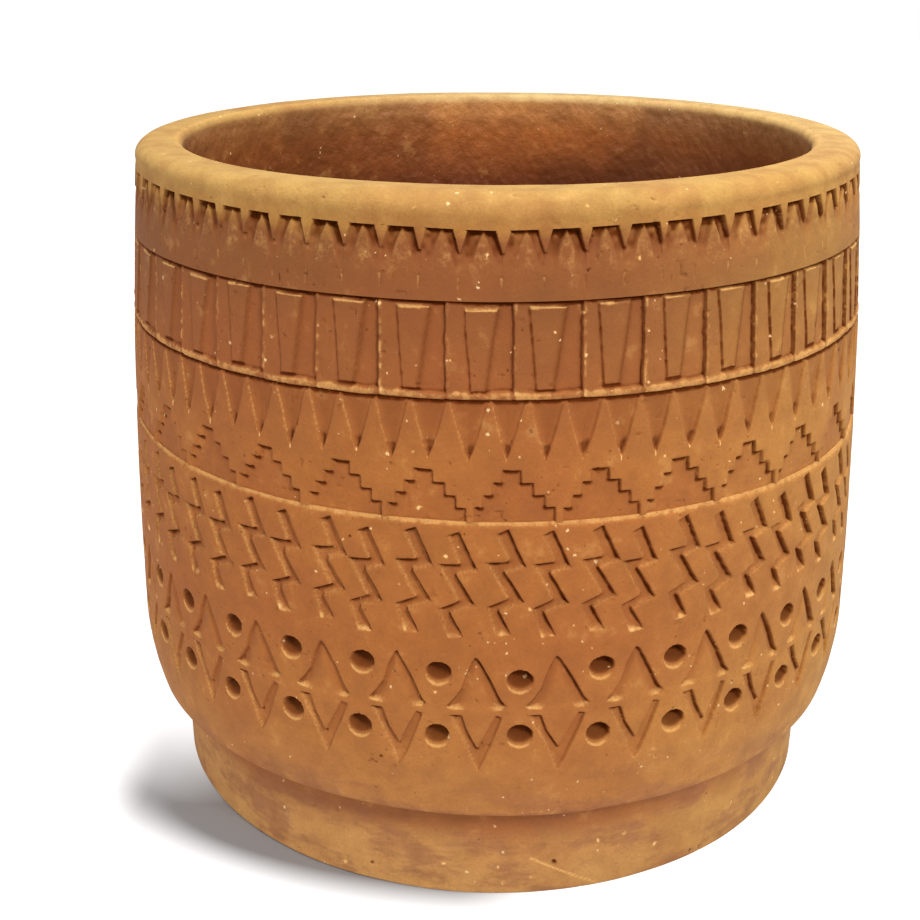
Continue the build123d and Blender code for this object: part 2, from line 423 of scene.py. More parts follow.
def step_pattern(cuts, turn, height, grain):
    """Hanging cuts between spikes above, stepped pyramids below."""
    _, along, level = vees.places(turn, height, spike_radius)
    distance, way_along, way_up = from_outline(vee_outline, along, level)
    sunk = cuts.edge(distance, way_along, way_up)
    wall_tone = 0.5 * np.clip(way_along, 0, 1) + 0.4 * np.clip(-way_along, 0, 1)
    wall_tone = wall_tone * bell(distance, 1.0)
    drop = rib_seam - level
    pocket = rise_from_0_to_1((drop - 14.5 + 1.5 * grain) / 2.5) * rise_from_0_to_1((20.0 - drop) / 2)
    tail = rise_from_0_to_1((drop - 18.5) / 2)
    vee_depth = 0.75 + 0.035 * drop + 0.7 * pocket - 1.1 * tail
    # painted light and shade of the hanging cuts: a highlight on their walls and on the tails under their
    # tips, painted shade in the pocket at each tip and over their floors
    cuts.tone += sunk * (0.85 * tail + wall_tone - 0.35 * pocket - 0.3)
    _, along, level = pyramids.places(turn, height, pyramid_radius)
    distance, way_along, way_up = from_outline(stepped_outline(), along, level)
    stepped = cuts.edge(distance, way_along, way_up)
    # painted shade under the top edge of each step, on the left of each pyramid
    cuts.tone -= stepped * (along < 1.5) * np.clip(way_up, 0, 1) * bell(distance, 1.3)
    pyramid_depth = middle_cut + 0.15 * grain
    scored = rise_from_0_to_1((height - rib_seam + 1.2 + 0.5 * grain) / 0.7)
    # painted shadow along the top of the course, under the fillet, and painted shade over the pyramids'
    # floors
    cuts.tone -= scored + 0.12 * stepped
    return np.maximum(np.maximum(sunk * vee_depth, stepped * pyramid_depth), 1.5 * scored)


bolt_pairs = 30
bolt_radius = 147.3
first_bolts = Row(bolt_pairs, 2.35, seed=41, shift=0.4, lift=0.45, stretch=0.02)
second_bolts = Row(bolt_pairs, 7.9, seed=42, shift=0.4, lift=0.45, stretch=0.02)
bolt_top = step_seam - 2.2
second_drop = 1.6
bolt_outline = [(-4.1, -1.9), (0, 0), (5.9, -13.6), (-1.0, -15.7), (5.4, -26.4), (-2.8, -29.7),
                (1.5, -38.2), (-4.1, -38.9), (-7.2, -27.9), (-0.6, -25.0), (-7.5, -12.0), (-0.3, -11.5)]
bolt_length = 38.9


def bolt_pattern(cuts, turn, height, grain):
    """Slanting zigzag channels in pairs, each scooped out to the face at its foot."""
    depth = np.zeros(turn.shape)
    for row, drop in ((first_bolts, 0), (second_bolts, second_drop)):
        _, along, level = row.places(turn, height - bolt_top + drop, bolt_radius)
        channel = cuts.cut(bolt_outline, along, level)
        scoop = rise_from_0_to_1((level + bolt_length + 0.8) / 6.5)
        depth = np.maximum(depth, channel * (deep_cut - 0.1 + 0.15 * grain) * scoop)
        foot = rise_from_0_to_1((-level - bolt_length + 4.0) / 3)
        # painted highlight at the foot of each channel, where it scoops out to the face
        cuts.tone += channel * foot * np.clip(0.25 + 0.5 * grain, 0, 1)
    ledge = rise_from_0_to_1((height - step_seam + 1.9 + 0.3 * grain) / 1.4)
    # painted highlight on the ledge along the top of the course
    cuts.tone += 0.55 * ledge * np.clip(1 + 0.5 * grain, 0, 1)
    return np.maximum(depth, 0.7 * ledge)


lozenge_count = 34
lozenge_radius = 149.5
lozenge_first = -1.9
lozenges = Row(lozenge_count, lozenge_first, seed=51, shift=0.4, lift=0.5, stretch=0.03)
upper_pits = Row(lozenge_count, lozenge_first + 5.85, seed=52, shift=0.4, lift=1.0, stretch=0.02)
lower_pits = Row(lozenge_count, lozenge_first + 5.75, seed=53, shift=0.5, lift=0.5, stretch=0.02)
upper_pit_height = 101.0
lower_pit_height = 76.8
pit_radius = 4.65
upper_outline = [(0.0, 108.8), (1.4, 107.4), (5.7, 99.6), (9.0, 92.2), (10.9, 89.6), (9.2, 88.3),
                 (6.4, 88.0), (0, 86.6), (-4.6, 88.1), (-8.4, 88.4), (-10.3, 89.2), (-7.6, 92.4),
                 (-5.2, 96.2), (-3.4, 102.3), (-1.2, 107.2)]
plateau_outline = [(0.2, 104.5), (6.2, 88.0), (0.8, 73.7), (-4.6, 88.2)]
lower_outline = [(-9.3, 86.3), (-4.6, 86.5), (-2.7, 80.4), (0.9, 73.7), (3.3, 79.2), (7.0, 86.5),
                 (9.6, 85.9), (5.8, 75.0), (2.8, 67.0), (1.1, 63.7), (0.3, 63.8), (-3.9, 75.6)]


def pit_depths(cuts, row, middle_height, turn, height):
    """Round pits, steep at the top, with a floor that ramps up to the lower edge."""
    _, along, level = row.places(turn, height - middle_height, lozenge_radius)
    reach = np.maximum(np.hypot(along, level), 1e-6)
    dug = cuts.edge(reach - pit_radius, along / reach, level / reach)
    lower_edge = -np.sqrt(np.maximum(pit_radius ** 2 - along ** 2, 0))
    up = (level - lower_edge) / pit_radius
    ramp = 0.28 * np.clip(up / 0.75, 0, 1) + 0.72 * rise_from_0_to_1((up - 0.5) / 0.7)
    # painted shade in the upper part of each pit, and a painted highlight on the ramp below it
    cuts.tone += dug * (0.3 - 0.95 * rise_from_0_to_1((up - 0.2) / 0.4) - 0.3 * rise_from_0_to_1(up - 0.8))
    return dug * (0.15 + (pit_depth - 0.15) * ramp)


def lozenge_pattern(cuts, turn, height, grain):
    """Lozenges with a soft raised heart, and round pits between them."""
    _, along, level = lozenges.places(turn, height, lozenge_radius)
    distance, way_along, way_up = from_outline(upper_outline, along, level)
    upper = cuts.edge(distance, way_along, way_up)
    left_line = bell(distance, 0.7) * np.clip(-way_along, 0, 1) * (way_up > 0)
    from_heart = from_outline(plateau_outline, along, level)[0]
    slope = rise_from_0_to_1((from_heart + 1.6) / 4.6)
    scoop = rise_from_0_to_1((level - 87.6) / 2.6)
    upper_depth = (0.25 + 1.45 * slope) * scoop
    lower = cuts.cut(lower_outline, along, level)
    lower_depth = 1.4 * rise_from_0_to_1((level - 61.5) / 6)
    # painted highlight in the side corners of each lozenge, and painted shade along its upper left edges
    cuts.tone += upper * (0.3 * slope * rise_from_0_to_1((91.0 - level) / 1.5) - 0.7 * left_line)
    depth = np.maximum(upper * upper_depth, lower * lower_depth)
    depth = np.maximum(depth, pit_depths(cuts, upper_pits, upper_pit_height, turn, height))
    return np.maximum(depth, pit_depths(cuts, lower_pits, lower_pit_height, turn, height))


# ---------------------------------------------------------------- marks of firing and wear

marks = (
    # turn in degrees to the right of the front, height, radius, dent, pale above 0 and dark below
    (-14.8, 226.0, 1.6, -0.4, 1.0), (-0.9, 241.3, 1.0, -0.2, 1.0), (-5.4, 210.3, 0.8, -0.3, 1.0),
    (2.7, 214.1, 0.9, -0.3, 1.0), (11.6, 211.3, 0.9, -0.3, 1.0), (7.6, 218.4, 0.8, 0.0, 1.0),
    (11.1, 223.7, 0.9, 0.0, 1.0), (15.7, 208.8, 0.8, 0.0, 0.9), (19.9, 216.9, 1.0, -0.3, 1.0),
    (20.0, 201.1, 0.9, 0.0, 0.9), (11.6, 256.2, 1.2, 0.0, 0.8), (-10.2, 255.6, 1.0, 0.0, 0.8),
    (6.8, 256.9, 0.8, 0.0, 0.8), (11.7, 236.5, 0.9, 0.5, -1.0), (18.5, 238.8, 0.8, 0.0, 0.7),
    (-9.3, 160.7, 1.4, -0.2, 1.0), (-5.8, 144.8, 1.2, 0.0, 1.0), (0.9, 145.8, 0.7, 0.0, 1.0),
    (-10.0, 180.2, 0.8, 0.0, 0.9), (10.7, 119.5, 1.0, 0.0, 1.0), (22.5, 176.3, 0.8, 0.0, 0.9),
    (-11.9, 133.5, 0.7, 0.0, 0.9), (11.9, 147.8, 0.9, 0.5, -0.8), (4.9, 126.4, 1.0, 0.0, 0.8),
    (-18.6, 148.4, 1.1, 0.6, -0.9), (-7.1, 94.1, 0.8, 0.0, 0.9), (20.6, 56.2, 0.8, 0.0, 0.9),
    (-15.8, 64.7, 3.2, 0.3, -0.7), (-14.7, 66.0, 1.2, 0.2, -0.9), (22.6, 65.0, 5.0, 0.1, 0.5),
    (-14.3, 14.0, 1.0, 0.0, 1.0), (-23.8, 4.9, 1.6, 0.2, 0.8), (-18.9, 7.7, 1.3, 0.9, -1.0),
    (-7.0, 12.8, 1.0, 0.0, 1.0), (1.5, 12.4, 1.2, 0.3, 0.8), (2.3, 5.2, 1.0, 0.0, 1.0),
    (6.7, 7.0, 1.2, 0.2, 0.8),
    (10.3, 13.4, 1.5, 1.1, -1.0), (17.2, 20.3, 1.2, 0.0, 1.0), (27.3, 12.5, 1.8, -0.1, 1.0),
    (21.7, 21.2, 1.2, 0.0, 0.9), (37.3, 1.6, 2.6, 1.3, -0.7), (35.1, 3.0, 1.6, 0.8, -0.9),
)
scratch = ((6.4, 16.0), (17.3, 1.3))      # a pale line across the foot
smudges = np.random.default_rng(61).uniform((25, 8, 1.9, 0, -0.6), (335, 236, 4.0, 0.2, -0.1), (60, 5))


def marked(points, out_r):
    """Dents and pale or dark spots of the outside."""
    dent = np.zeros(len(points))
    tone = np.zeros(len(points))
    shown = np.flatnonzero(out_r > 0)
    for turn, height, radius, depth, shade in (*marks, *smudges):
        level = float(outside_radius(height)) if height > bowl_seam else foot_radius
        angle = math.radians(turn)
        centre = np.array([level * math.sin(angle), -level * math.cos(angle), height])
        close = shown[np.abs(points[shown] - centre).max(axis=1) < 1.5 * radius]
        gap = np.linalg.norm(points[close] - centre, axis=1)
        uneven = 0.8 * radius * (1 + 0.9 * lumps(points[close], 0.9, 62))
        share = rise_from_0_to_1(1.5 * (1 - gap / uneven))
        if radius > 1.8:
            share = share * np.clip(0.45 + 1.4 * lumps(points[close], 1.0, 63), 0, 1)
        dent[close] += depth * share
        tone[close] += shade * share
    here = points[shown]
    along = np.degrees(np.arctan2(here[:, 0], -here[:, 1]))
    (turn_a, height_a), (turn_b, height_b) = scratch
    share = (along - turn_a) / (turn_b - turn_a)
    off = np.abs(here[:, 2] - (height_a + (height_b - height_a) * share)) * 0.8
    tone[shown] += 0.8 * (share > 0) * (share < 1) * (here[:, 2] < 20) * np.clip(1.1 - off / 0.7, 0, 1)
    return dent, tone


# ---------------------------------------------------------------- pieces

def face_rows(radius_at, low, high, spacing, out_r, carved=0):
    """Rows of an upright face, from the first height to the second."""
    count = max(2, round(abs(high - low) / spacing) + 1)
    return [(float(radius_at(z)), z, out_r, 0, carved) for z in np.linspace(low, high, count)]


def line_rows(start, end, spacing, out_r=0, out_z=0):
    """Rows of a straight face, without its end."""
    count = max(1, round(math.dist(start, end) / spacing))
    run, rise = end[0] - start[0], end[1] - start[1]
    return [(start[0] + run * n / count, start[1] + rise * n / count, out_r, out_z, 0)
            for n in range(count)]


def round_rows(centre, radius, first, last, spacing):
    """Rows of a rounded edge, between two angles above the outward level."""
    count = max(3, round(radius * math.radians(abs(last - first)) / spacing))
    rows = []
    for angle in np.radians(np.linspace(first, last, count + 1)):
        out_r, out_z = math.cos(angle), math.sin(angle)
        rows.append((centre[0] + radius * out_r, centre[1] + radius * out_z, out_r, out_z, 0))
    return rows


def hidden(*points):
    """Rows that lie inside the wall."""
    return [(r, z, 0, 0, 0) for r, z in points]


def numbers(items, name, width):
    """The values of one property of all the items, one row for each."""
    values = np.empty(len(items) * width)
    items.foreach_get(name, values)
    return values.reshape(-1, width)


def keep_on_mesh(mesh, name, values):
    """Stores a value for each vertex, for the clay's colours."""
    attribute = mesh.attributes.new(name, "FLOAT", "POINT")
    attribute.data.foreach_set("value", values.astype(np.float32))


def around(radius, turn, height):
    """Points in mm. Turns are counted from the front, to the right."""
    return np.stack([radius * np.sin(turn), -radius * np.cos(turn), height], axis=1)


def carve(cell, turn, height, held_turn, held_height, pattern):
    """Carves the outside of a slab.

    Returns its new turn, height and depth, and how pale or dark it is, which is painted light and shade.
    """
    radius = outside_radius(height)
    points = around(radius, turn, height)
    wobble_along = 0.3 * lumps(points, 9, 8) + 0.07 * lumps(points, 2.1, 9)
    wobble_up = 0.25 * lumps(points, 9, 14) + 0.07 * lumps(points, 2.1, 15)
    grain = lumps(points, 1.7, 16)
    cuts = Cuts(len(turn), cell)
    top = height.max()
    up = np.ones(len(turn))
    if pattern in (flame_pattern, rib_pattern, step_pattern):
        cuts.edge(height - top, 0 * up, up)
    depth = pattern(cuts, turn + wobble_along / radius, height + wobble_up, grain)
    turn = turn + np.where(held_turn, 0, cuts.pull_along / radius)
    height = height + np.where(held_height, 0, cuts.pull_up)

    # upper and right walls have a deeper crease at their foot, with painted shade in it, and lower and left
    # ones a flatter slope, with a painted highlight. The painted shade of right walls is stronger round the
    # right of the pot, the painted highlight of left walls round its left
    within = np.minimum(cuts.distance, 0)
    turned = 0.35 * np.sin(turn) * np.abs(cuts.way_along)
    lean = 0.42 * cuts.way_along + turned + 0.9 * cuts.way_up
    shady = np.clip(lean, 0, 1)
    sunny = np.clip(-lean, 0, 1)
    cut_here = np.clip(depth / 0.45, 0, 1) * (cuts.distance < cell / 2)
    near = -np.abs(cuts.distance)
    deeper = 0.5 * shady * np.exp(near / crease_reach)
    flatter = 0.9 * sunny * np.exp(near / slope_reach)
    depth = depth * (1 + deeper - flatter)
    out_of_sight = 0.5 * depth * np.clip(cuts.way_up, 0, 1)
    from_wall = np.minimum(within + out_of_sight, 0)
    # painted shade in the crease at the foot of upper and right walls
    painted_crease_shade = bell(from_wall, 0.75) * cut_here * np.clip(0.15 + 1.1 * lean, 0, 1) * (1 + 0.4 * grain)
    # painted highlight on the slope at the foot of lower and left walls
    painted_slope_highlight = np.exp(within / 1.1) * cut_here * sunny
    return turn, height, depth, cuts.tone - painted_crease_shade + 0.6 * painted_slope_highlight


def wrapped_slab(name, outline, columns, turn_from, turn_to, pattern=None, cell=0):
    """Wraps a grid of clay round the axis, carves it and closes it into one solid piece."""
    rows = len(outline) - 1
    shape = bmesh.new()
    bmesh.ops.create_grid(shape, x_segments=columns, y_segments=rows, size=0.5)
    mesh = bpy.data.meshes.new(name)
    shape.to_mesh(mesh)
    shape.free()

    flat = numbers(mesh.vertices, "co", 3)
    column = np.rint((flat[:, 0] + 0.5) * columns)
    row = np.rint((flat[:, 1] + 0.5) * rows).astype(int)
    radius, height, out_r, out_z, carved = np.array(outline, float)[row].T
    turn = turn_from + (turn_to - turn_from) * column / columns
    depth = np.zeros(len(turn))
    tone = np.zeros(len(turn))

    if pattern:
        at = np.flatnonzero(carved)
        ends = height[at]
        held_height = (ends == ends.min()) | (ends == ends.max())
        held_turn = (column[at] == 0) | (column[at] == columns)
        carved_slab = carve(cell, turn[at], ends, held_turn, held_height, pattern)
        turn[at], height[at], depth[at], tone[at] = carved_slab
        radius[at] = outside_radius(height[at])

    points = around(radius, turn, height)
    dent, mark_tone = marked(points, out_r)
    # a paler ring along the inner edge of the rim's top
    tone += 0.3 * bell(radius - lip_edge_radius - 1, 1.6) * (height > rim_top - 3)
    sink = np.maximum(sunk_by_hand(points, out_r) + depth + dent, 0.02)
    height = height + ripple(points, height)
    points = around(radius - out_r * sink, turn, height - out_z * sink)
    mesh.vertices.foreach_set("co", (points * MM).ravel())
    keep_on_mesh(mesh, "carved", np.clip(depth / deep_cut, 0, 1))
    # painted light and shade of the cuts, the paler ring at the rim's inner edge, and the pale and dark
    # marks
    keep_on_mesh(mesh, "tone", np.clip(tone + mark_tone, -1, 1))
    facing_in = np.clip(-out_r + out_z * (height < belly_height), 0, 1)
    keep_on_mesh(mesh, "inside", facing_in * rise_from_0_to_1((rim_top - 0.4 - height) / 5))

    shape = bmesh.new()
    shape.from_mesh(mesh)
    rim = [v for v in shape.verts if v.is_boundary]
    bmesh.ops.remove_doubles(shape, verts=rim, dist=0.001 * MM)
    bmesh.ops.holes_fill(shape, edges=[e for e in shape.edges if e.is_boundary], sides=0)
    bmesh.ops.recalc_face_normals(shape, faces=shape.faces)
    bmesh.ops.triangulate(shape, faces=shape.faces, quad_method="SHORT_EDGE")
    shape.to_mesh(mesh)
    shape.free()
    mesh.shade_smooth()
    mesh.set_sharp_from_angle(angle=math.radians(38))
    return mesh


def finish_piece(name, mesh, node, clay):
    """Stands a mesh for its CAD node, rides it on the pot and gives it its clay."""
    piece = bpy.data.objects.new(name, mesh)
    bpy.context.scene.collection.objects.link(piece)
    mesh.materials.append(clay)
    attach(piece, "root")
    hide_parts(node)
    return piece


def course_outline(low, high, cell, inside_spacing):
    """Section of a course of wall: carved outside, tongue on top, smooth inside, rebate below."""
    loop = face_rows(outside_radius, low, high, cell, out_r=1, carved=1)
    loop += hidden((lap_radius(high), high), (lap_radius(high), high + lap_height))
    loop += face_rows(inside_radius, high + lap_height, low + lap_height, inside_spacing, out_r=-1)
    loop += hidden((lap_radius(low) + lap_gap, low + lap_height), (lap_radius(low) + lap_gap, low))
    return loop + loop[:1]


def bowl_band_outline(cell):
    """Section of the carved part of the bowl."""
    loop = face_rows(outside_radius, band_bottom, bolt_seam, cell, out_r=1, carved=1)
    loop += hidden((lap_radius(bolt_seam), bolt_seam), (lap_radius(bolt_seam), bolt_seam + lap_height))
    loop += face_rows(inside_radius, bolt_seam + lap_height, band_bottom, 4.0, out_r=-1)
    return loop + loop[:1]


def bowl_base_outline():
    """Section of the lower bowl: overhanging shoulder outside, heel inside."""
    edge_round = 0.8
    under_edge = (shoulder_radius - edge_round, shoulder_edge - 0.35)
    under = line_rows((foot_radius, bowl_seam), under_edge, 1.5, 0.5, -0.87)
    edge = [(shoulder_radius - 0.12, shoulder_edge + 0.25, 0.9, -0.4, 0)]
    side = face_rows(shoulder_side, shoulder_edge + edge_round, band_bottom, 0.9, out_r=1)
    heel = face_rows(heel_side, band_bottom, floor_top, 2.4, out_r=-1)
    loop = under + edge + side + heel + hidden((floor_seat_radius, bowl_seam))
    return loop + loop[:1]


def rim_outline():
    """Section of the rim: rounded outside, nearly flat on top, rounded inside."""
    inner_radius = float(wall_side(rim_seam)) - wall_thickness
    rebate_top = rim_seam + lap_height
    outer_centre = (neck_radius - rim_outer_round, rim_top - rim_outer_round)
    inner_centre = (inner_radius + rim_inner_round, rim_top - rim_inner_round)
    loop = line_rows((neck_radius, rim_seam), (neck_radius, outer_centre[1]), 0.8, out_r=1)
    loop += round_rows(outer_centre, rim_outer_round, 0, 90, 0.8)
    loop += line_rows((outer_centre[0] - 1, rim_top), (inner_centre[0], rim_top), 1.0, out_z=1)
    loop += round_rows(inner_centre, rim_inner_round, 90, 180, 0.7)
    loop += face_rows(lambda z: inner_radius, inner_centre[1] - 0.6, rebate_top, 0.8, out_r=-1)
    loop += hidden((lap_radius(rim_seam) + lap_gap, rebate_top), (lap_radius(rim_seam) + lap_gap, rim_seam))
    return loop + loop[:1]


def foot_outline():
    """Section of the foot ring, worn round where it meets the ground."""
    outer_centre = (foot_radius - worn_round, worn_round)
    inner_centre = (recess_radius + worn_round, worn_round)
    loop = round_rows(outer_centre, worn_round, -90, 0, 0.4)
    loop += line_rows((foot_radius, worn_round + 0.9), (foot_radius, bowl_seam), 0.9, out_r=1)
    loop += hidden((foot_radius, bowl_seam), (floor_seat_radius, bowl_seam))
    loop += hidden((floor_seat_radius, floor_bottom))
    loop += line_rows((recess_radius, floor_bottom), (recess_radius, worn_round), 2.5, out_r=-1)
    loop += round_rows(inner_centre, worn_round, 180, 270, 0.6)
    loop += line_rows((inner_centre[0] + 2, 0), (outer_centre[0], 0), 2.5)
    return loop + loop[:1]


def floor_outline():
    """Section of the floor, rounded at the drain hole."""
    edge_round = 2.0
    top_centre = (drain_radius + edge_round, floor_top - edge_round)
    bottom_centre = (drain_radius + edge_round, floor_bottom + edge_round)
    loop = line_rows((floor_radius, floor_top), (top_centre[0] + 1, floor_top), 2.0, out_z=1)
    loop += round_rows(top_centre, edge_round, 90, 180, 0.6)
    loop += line_rows((drain_radius, top_centre[1] - 1), (drain_radius, bottom_centre[1]), 1.5, out_r=-1)
    loop += round_rows(bottom_centre, edge_round, 180, 270, 0.6)
    loop += line_rows((bottom_centre[0] + 2, floor_bottom), (floor_radius, floor_bottom), 3.0, out_z=-1)
    loop += hidden((floor_radius, floor_bottom))
    return loop + loop[:1]


# ---------------------------------------------------------------- clay

def from_screen(red, green, blue):
    """Colour for a shader from its 0 to 255 screen values."""
    def straight(value):
        value /= 255
        return value / 12.92 if value <= 0.04045 else ((value + 0.055) / 1.055) ** 2.4
    return (straight(red), straight(green), straight(blue), 1.0)


class Recipe:
    """Builds a material's nodes. An input given as a socket is linked, else it is set."""

    def __init__(self, name):
        self.material = bpy.data.materials.new(name)
        self.material.use_nodes = True
        self.tree = self.material.node_tree
        self.surface = self.tree.nodes["Principled BSDF"]
        self.place = self.tree.nodes.new("ShaderNodeTexCoord").outputs["Object"]

    def node(self, kind, settings=None, **inputs):
        node = self.tree.nodes.new("ShaderNode" + kind)
        for name, value in (settings or {}).items():
            setattr(node, name, value)
        for name, value in inputs.items():
            self.plug(node.inputs[name.replace("_", " ")], value)
        return node

    def plug(self, socket, value):
        if isinstance(value, bpy.types.NodeSocket):
            self.tree.links.new(value, socket)
        else:
            socket.default_value = value

    def noise(self, size, detail=3.0, roughness=0.55, place=None):
        """Noise from 0 to 1 with lumps of about the size, in mm."""
        node = self.node("TexNoise", Vector=place or self.place, Scale=1 / (size * MM), Detail=detail,
                         Roughness=roughness)
        return node.outputs["Fac"]

    def grow(self, value, low, high):
        """0 below the low value and 1 above the high one."""
        node = self.node("MapRange", {"interpolation_type": "SMOOTHSTEP"}, Value=value)
        node.inputs["From Min"].default_value = low
        node.inputs["From Max"].default_value = high
        return node.outputs["Result"]

    def maths(self, operation, first, second=0.0):
        node = self.node("Math", {"operation": operation})
        self.plug(node.inputs[0], first)
        self.plug(node.inputs[1], second)
        return node.outputs[0]

    def mix(self, share, first, second, blend="MIX"):
        node = self.node("Mix", {"data_type": "RGBA", "blend_type": blend})
        self.plug(node.inputs[0], share)
        self.plug(node.inputs[6], first)
        self.plug(node.inputs[7], second)
        return node.outputs[2]

    def attribute(self, name):
        return self.node("Attribute", {"attribute_name": name}).outputs["Fac"]

    def ramp(self, share, stops):
        """Colours that run into one another, from stops of a share and a colour."""
        node = self.node("ValToRGB", Fac=share)
        for number, (place, colour) in enumerate(stops):
            if number < 2:
                stop = node.color_ramp.elements[number]
                stop.position = place
            else:
                stop = node.color_ramp.elements.new(place)
            stop.color = colour
        return node.outputs["Color"]

    def specks(self, size, bend, share):
        """Scattered specks of many sizes, some pale and some dark, as two masks from 0 to 1."""
        bent = self.node("VectorMath", {"operation": "MULTIPLY_ADD"})
        self.plug(bent.inputs[0], bend.node.outputs["Color"])
        bent.inputs[1].default_value = (1.7 * MM,) * 3
        self.plug(bent.inputs[2], self.place)
        cells = self.node("TexVoronoi", Vector=bent.outputs[0], Scale=1 / (size * MM))
        draw = self.node("SeparateColor", Color=cells.outputs["Color"])
        reach = self.maths("MULTIPLY", self.maths("MULTIPLY", draw.outputs[1], draw.outputs[1]), 0.2)
        reach = self.maths("MULTIPLY", reach, self.maths("ADD", 0.4, self.maths("MULTIPLY", share, 0.7)))
        near = self.grow(self.maths("SUBTRACT", reach, cells.outputs["Distance"]), -0.025, 0.025)
        pale = self.maths("MULTIPLY", near, self.grow(draw.outputs[0], 0.62, 0.68))
        dark = self.maths("MULTIPLY", near, self.grow(draw.outputs[0], 0.2, 0.14))
        return pale, dark


def fired_clay():
    """Fired, unglazed clay: ochre at the lip and foot, redder in the wall, dark brown inside, with painted
    light and shade: shade at the cuts, on the foot under the shoulder and inside, light at the cuts, on the
    right side and on the rim's top.
    """
    recipe = Recipe("fired_clay")
    carved = recipe.attribute("carved")
    tone = recipe.attribute("tone")
    within = recipe.attribute("inside")
    broad = recipe.noise(58, 2.0)
    patch = recipe.noise(10, 4.0, 0.6)
    fine = recipe.noise(0.9, 2.0, 0.6)

    height = recipe.node("SeparateXYZ", Vector=recipe.place).outputs["Z"]
    drift = recipe.maths("MULTIPLY", recipe.maths("SUBTRACT", patch, 0.5), 0.03)
    level = recipe.maths("ADD", recipe.maths("DIVIDE", height, rim_top * MM), drift)
    # the wall's colours by height, with a painted shadow on the foot under the shoulder
    face = recipe.ramp(level, face_bands_with_painted_shade)
    spot = recipe.node("SeparateXYZ", Vector=recipe.place)
    to_right = spot.outputs["X"]
    # painted light on the rim's top, towards the back right
    painted_rim_light = recipe.grow(recipe.maths("ADD", to_right, spot.outputs["Y"]), -20 * MM, 150 * MM)
    painted_rim_light = recipe.maths("MULTIPLY", painted_rim_light, recipe.grow(level, 0.975, 1.0))
    face = recipe.mix(recipe.maths("MULTIPLY", painted_rim_light, 0.85), face, rim_highlight_pale)
    # painted light: the right side of the pot is paler and more ochre
    sunny = recipe.maths("MULTIPLY", recipe.grow(to_right, 20 * MM, 140 * MM), 0.7)
    face = recipe.mix(sunny, face, recipe.mix(0.6, face, painted_light_ochre))
    colour = recipe.mix(recipe.grow(broad, 0.42, 0.68), face, recipe.mix(0.25, face, red_earth))
    # painted shade: the cuts are a little redder and darker by their depth
    colour = recipe.mix(recipe.grow(carved, 0.1, 0.7), colour, recipe.mix(0.25, colour, red_earth))
    turned = recipe.node("Mapping", Vector=recipe.place)
    turned.inputs["Scale"].default_value = (1, 1, 2.6)
    streaks = recipe.noise(30, 4.0, 0.65, turned.outputs[0])
    on_foot = recipe.maths("MULTIPLY", recipe.grow(level, 0.28, 0.12), recipe.grow(streaks, 0.45, 0.62))
    colour = recipe.mix(on_foot, colour, recipe.mix(0.55, colour, stain_brown))
    # the inside's own dark brown, with painted shade: darkest at half its height, paler towards the rim and
    # the floor
    inner = recipe.ramp(level, inside_bands_with_painted_shade)
    inner = recipe.mix(recipe.grow(broad, 0.46, 0.6), inner, recipe.mix(0.35, inner, deep_brown))
    # painted shade: the inside is darker away from the middle, to the left and the right
    painted_side_shade = recipe.grow(recipe.maths("ABSOLUTE", to_right), 30 * MM, 105 * MM)
    inner = recipe.mix(painted_side_shade, inner, recipe.mix(0.48, inner, deep_brown))
    colour = recipe.mix(within, colour, inner)
    colour = recipe.mix(recipe.grow(patch, 0.34, 0.6), recipe.mix(0.24, colour, shade_brown), colour)
    colour = recipe.mix(recipe.grow(patch, 0.58, 0.72), colour, recipe.mix(0.18, colour, highlight_and_patch_ochre))
    colour = recipe.mix(recipe.grow(fine, 0.34, 0.6), recipe.mix(0.14, colour, shade_brown), colour)

    # the tone paints light and shade at the cuts, with the marks: the first two masks give painted
    # highlights and pale marks, the third painted shade and dark marks
    worn = recipe.grow(recipe.maths("ADD", tone, recipe.maths("MULTIPLY", fine, 0.5)), 0.3, 1.0)
    pale = recipe.grow(recipe.maths("MULTIPLY", tone, recipe.maths("ADD", fine, 0.5)), 0.6, 0.85)
    dark = recipe.grow(recipe.maths("MULTIPLY", tone, -1.0), 0.04, 0.95)
    colour = recipe.mix(recipe.maths("MULTIPLY", worn, 0.75), colour, highlight_and_patch_ochre)
    colour = recipe.mix(recipe.maths("MULTIPLY", pale, 0.7), colour, pale_grain_and_highlight)
    colour = recipe.mix(recipe.maths("MULTIPLY", dark, 0.9), colour, painted_shade_and_mark_brown)
    cream_specks, dark_specks = recipe.specks(3.2, fine, recipe.grow(patch, 0.42, 0.58))
    colour = recipe.mix(recipe.maths("MULTIPLY", cream_specks, 0.7), colour, pale_grain_and_highlight)
    colour = recipe.mix(recipe.maths("MULTIPLY", dark_specks, 0.5), colour, deep_brown)
    recipe.plug(recipe.surface.inputs["Base Color"], colour)

    rough = recipe.maths("SUBTRACT", 0.86, recipe.maths("MULTIPLY", within, 0.38))
    recipe.plug(recipe.surface.inputs["Roughness"], rough)
    shine = recipe.maths("SUBTRACT", 0.4, recipe.maths("MULTIPLY", dark, 0.35))
    recipe.plug(recipe.surface.inputs["Specular IOR Level"], shine)
    relief = recipe.maths("ADD", recipe.maths("MULTIPLY", fine, 0.4), recipe.maths("MULTIPLY", patch, 1.4))
    grit = recipe.maths("MULTIPLY", recipe.noise(3.2, 2.0, 0.5), within)
    relief = recipe.maths("ADD", relief, recipe.maths("MULTIPLY", grit, 0.9))
    bump = recipe.node("Bump", Height=relief, Distance=0.45 * MM, Strength=0.85)
    recipe.plug(recipe.surface.inputs["Normal"], bump.outputs["Normal"])
    return recipe.material


# redder earth, in broad patches and as painted shade in the cuts
red_earth = from_screen(156, 80, 34)
shade_brown = from_screen(116, 62, 24)
deep_brown = from_screen(60, 27, 14)
